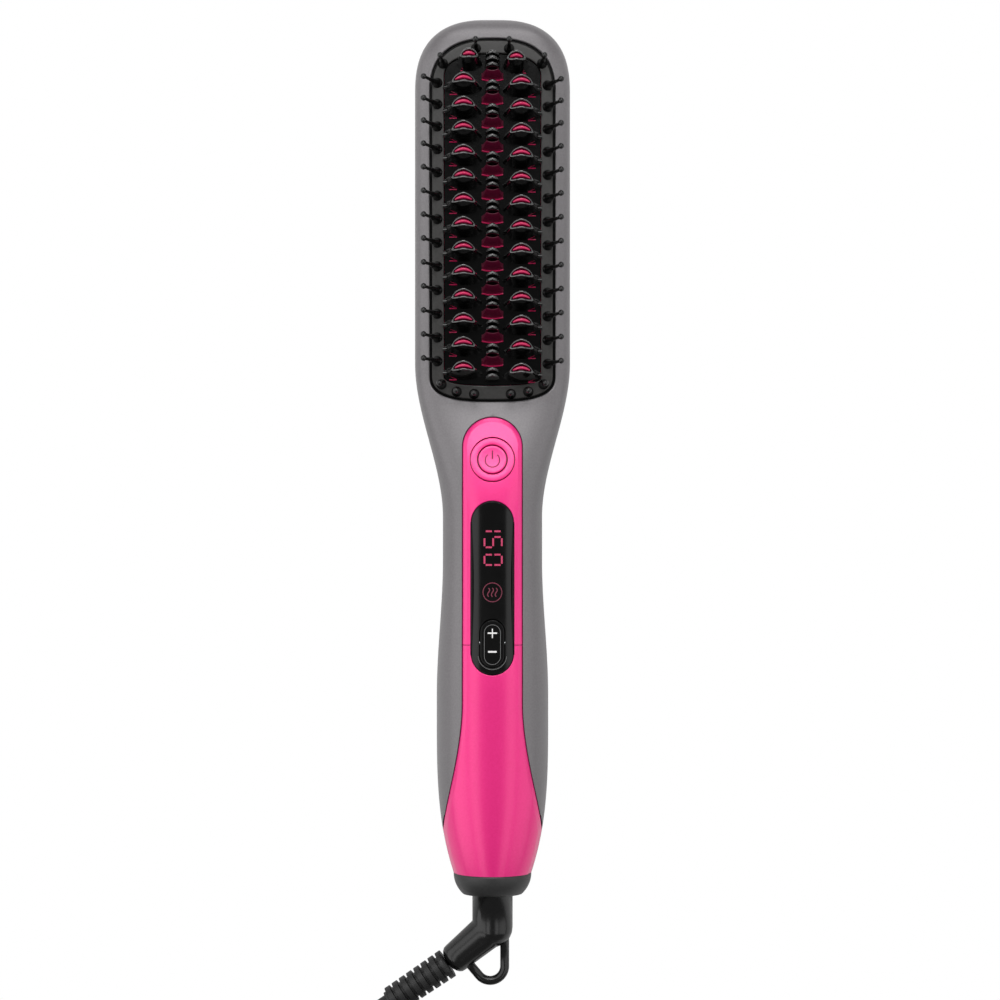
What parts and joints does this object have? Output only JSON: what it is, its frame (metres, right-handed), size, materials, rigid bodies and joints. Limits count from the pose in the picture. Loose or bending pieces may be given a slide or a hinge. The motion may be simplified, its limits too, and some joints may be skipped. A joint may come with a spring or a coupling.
{
  "type": "steam hair straightener brush",
  "caption": "Flat-headed heated hair brush with hooded heating fins, edge bristles, a display handle and a coiled swivel mains cord.",
  "frame": {"origin": "under the middle of the brush's outline, on the plane the back rests on", "axes": "+Y along the handle to the head's tip, +X to the right seen from the side with the teeth, +Z out of the teeth"},
  "size_m": [0.1073, 0.4498, 0.0359],
  "materials": {
    "housing_grey": "satin metallic paint on ABS",
    "pink_panel": "metallic gloss paint on ABS",
    "pink_coating": "ceramic coating on cast aluminium",
    "gloss_black": "gloss heat-resistant nylon",
    "black_plastic": "satin nylon",
    "dark_plastic": "satin ABS",
    "window_black": "polished acrylic",
    "cord_rubber": "matte PVC",
    "steel": "plated",
    "brass": "plain",
    "cast_aluminium": "as cast",
    "ceramic": "fired ceramic",
    "mica": "mica sheet",
    "board_green": "solder resist",
    "tank_plastic": "translucent",
    "clear_silicone": "satin",
    "pale_plastic": "satin",
    "lead_jacket": "satin"
  },
  "bodies": {
    "handle": {"front_housing": "housing_grey", "rear_housing": "housing_grey", "end_cap": "dark_plastic", "control_fascia": "pink_panel", "handle_cover": "pink_panel", "bristle_frame": "dark_plastic", "edge_bristles": "black_plastic", "heater_plate": "pink_coating", "fin_hoods": "gloss_black", "middle_teeth": "gloss_black", "button_ring": "pink_panel", "display_window": "window_black", "rocker_pin": "steel", "heating_element": "ceramic", "clamp_plate": "steel", "steam_chamber": "cast_aluminium", "heat_shield": "mica", "thermal_fuse": "steel", "thermistor": "ceramic", "steam_tube": "clear_silicone", "micro_pump": "black_plastic", "water_tube": "clear_silicone", "water_tank": "tank_plastic", "main_board": "board_green", "power_parts": "dark_plastic", "control_board": "board_green", "display_module": "black_plastic", "tact_switches": "steel", "contact_carrier": "pale_plastic", "slip_contacts": "brass", "mains_leads": "lead_jacket", "heater_leads": "lead_jacket", "case_screws": "steel", "heater_screws": "steel"},
    "power_button": {"power_button": "pink_panel"},
    "temp_rocker": {"temp_rocker": "window_black"},
    "filler_plug": {"filler_plug": "cord_rubber"},
    "cord_swivel": {"swivel_elbow": "black_plastic", "slip_rings": "brass", "strain_relief": "cord_rubber", "mains_cord": "cord_rubber", "cord_coil": "cord_rubber", "cord_tie": "black_plastic", "plug_body": "cord_rubber", "plug_pins": "steel"}
  },
  "joints": [
    {"name": "power_button_press", "type": "slide", "parent": "handle", "child": "power_button", "axis": [0, -0.1821, -0.9833], "range_m": [0, 0.0008], "stiffness_N_per_m": 1500},
    {"name": "temp_rocker_tilt", "type": "hinge", "parent": "handle", "child": "temp_rocker", "pos_m": [0, -0.0482, 0.02864], "axis": [1, 0, 0], "range_deg": [-3, 3], "stiffness_Nm_per_rad": 0.35},
    {"name": "filler_plug_pull", "type": "slide", "parent": "handle", "child": "filler_plug", "axis": [0, 0, -1], "range_m": [0, 0.009]},
    {"name": "cord_swivel_turn", "type": "hinge", "parent": "handle", "child": "cord_swivel", "pos_m": [0, -0.1349, 0.017], "axis": [0, 1, 0], "continuous": true}
  ]
}
